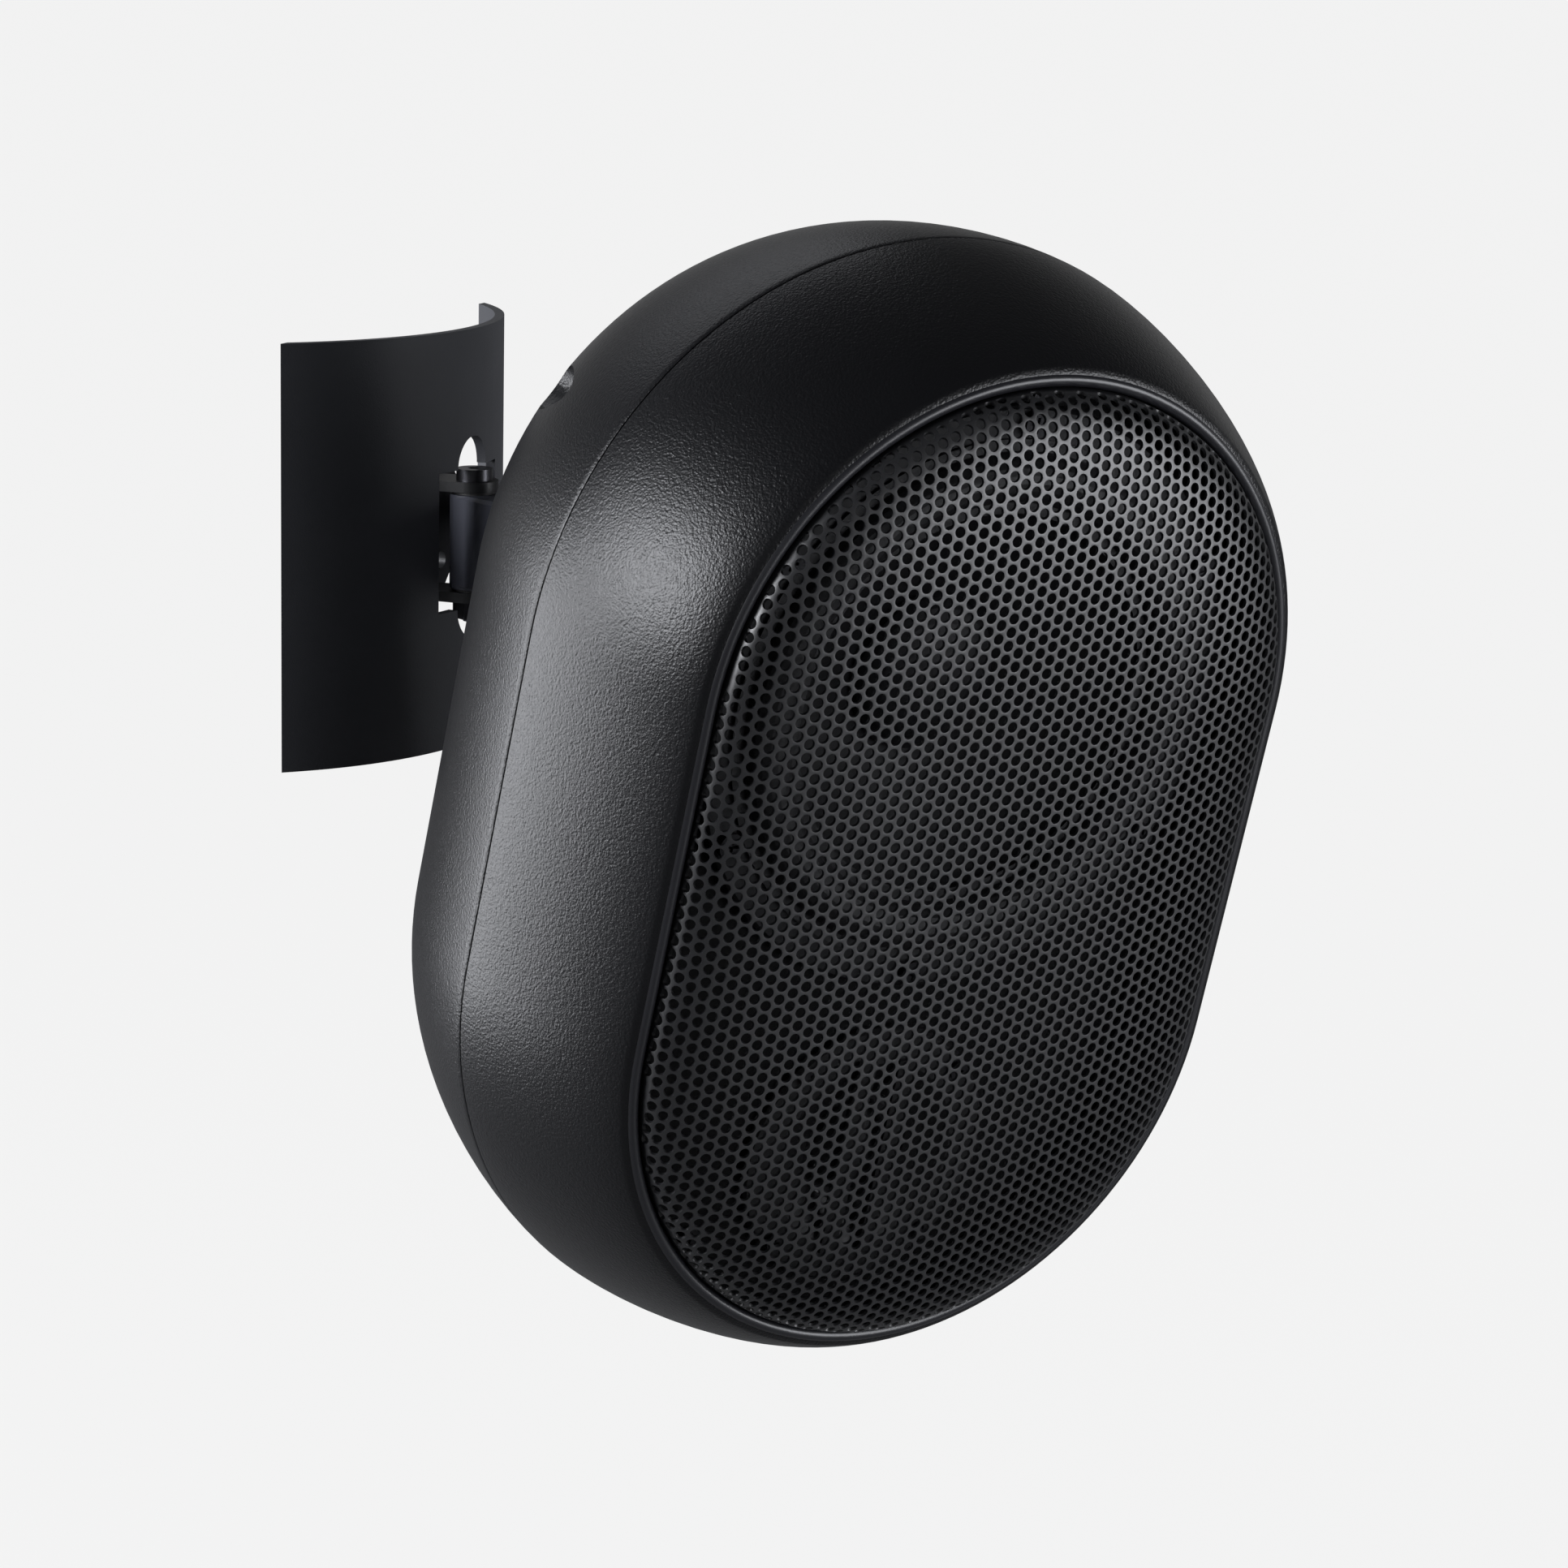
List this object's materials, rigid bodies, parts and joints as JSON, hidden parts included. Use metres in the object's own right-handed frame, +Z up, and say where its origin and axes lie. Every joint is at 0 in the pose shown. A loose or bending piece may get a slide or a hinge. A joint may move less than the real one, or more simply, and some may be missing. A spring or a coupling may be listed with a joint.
{
  "type": "wall speaker",
  "caption": "Capsule-shaped two-way wall speaker with a domed perforated grille, held by a ball clamp on an arm that pans in a curved wall bracket.",
  "frame": {"origin": "centre of the wall bracket's flat back face, on the wall plane", "axes": "+Y into the wall, -Y towards the room, +Z up, +X to the right as seen from the room"},
  "size_m": [0.2606, 0.2847, 0.2938],
  "materials": {
    "cover_paint": "fine satin dark grey powder coat",
    "base_steel": "satin black coated steel",
    "bolt_steel": "zinc-plated steel",
    "washer_nylon": "natural nylon",
    "arm_paint": "satin grey-blue paint on cast metal",
    "ring_plastic": "black moulded plastic",
    "ball_steel": "black oxide steel",
    "shell_plastic": "charcoal moulded plastic with a fine leather grain",
    "seal_rubber": "matt black rubber",
    "dark_screw": "black zinc",
    "grille_paint": "satin black powder coat",
    "baffle_plastic": "matt black moulded plastic",
    "basket_metal": "dark grey coated pressed steel",
    "surround_rubber": "matt black rubber",
    "cone_plastic": "dark grey moulded cone",
    "cap_plastic": "dark dust cap",
    "spider_cloth": "impregnated cloth",
    "coil_copper": "copper wire on a former",
    "pole_steel": "zinc-plated steel",
    "ferrite": "dark sintered ferrite",
    "tweeter_plastic": "matt black moulded plastic",
    "dome_cloth": "coated dark dome",
    "board_green": "green circuit board",
    "coil_wire": "enamelled copper windings",
    "capacitor_film": "yellow film capacitors",
    "terminal_plastic": "black moulded plastic",
    "terminal_caps": "moulded screw caps"
  },
  "bodies": {
    "wall_bracket": {"cover_plate": "cover_paint", "base_plate": "base_steel", "pan_bolt": "bolt_steel", "pan_nut": "bolt_steel", "pan_washers": "washer_nylon"},
    "arm": {"swivel_arm": "arm_paint", "pinch_screw": "bolt_steel", "clamp_ring": "ring_plastic"},
    "speaker": {"ball_stud": "ball_steel", "stud_nut": "pole_steel", "rear_shell": "shell_plastic", "front_shell": "shell_plastic", "shell_seal": "seal_rubber", "shell_screws": "dark_screw", "grille": "grille_paint", "baffle": "baffle_plastic", "baffle_screws": "dark_screw", "baffle_gasket": "seal_rubber", "woofer_basket": "basket_metal", "woofer_surround": "surround_rubber", "woofer_cone": "cone_plastic", "dust_cap": "cap_plastic", "woofer_spider": "spider_cloth", "voice_coil": "coil_copper", "woofer_top_plate": "pole_steel", "woofer_magnet": "ferrite", "woofer_back_plate": "pole_steel", "woofer_screws": "dark_screw", "tweeter_plate": "tweeter_plastic", "tweeter_dome": "dome_cloth", "tweeter_top_plate": "pole_steel", "tweeter_magnet": "ferrite", "tweeter_back_plate": "pole_steel", "tweeter_screws": "dark_screw", "crossover_board": "board_green", "crossover_coils": "coil_wire", "crossover_capacitors": "capacitor_film", "board_screws": "dark_screw", "terminal_plate": "terminal_plastic", "terminal_posts": "terminal_caps", "terminal_screws": "dark_screw"}
  },
  "joints": [
    {"name": "pan", "type": "hinge", "parent": "wall_bracket", "child": "arm", "pos_m": [0, -0.028, 0], "axis": [0, 0, 1], "range_deg": [-24, 76]},
    {"name": "tilt", "type": "hinge", "parent": "arm", "child": "speaker", "pos_m": [-0.03934, -0.11161, 0], "axis": [0.807, -0.5906, 0], "range_deg": [-29, 16]}
  ]
}
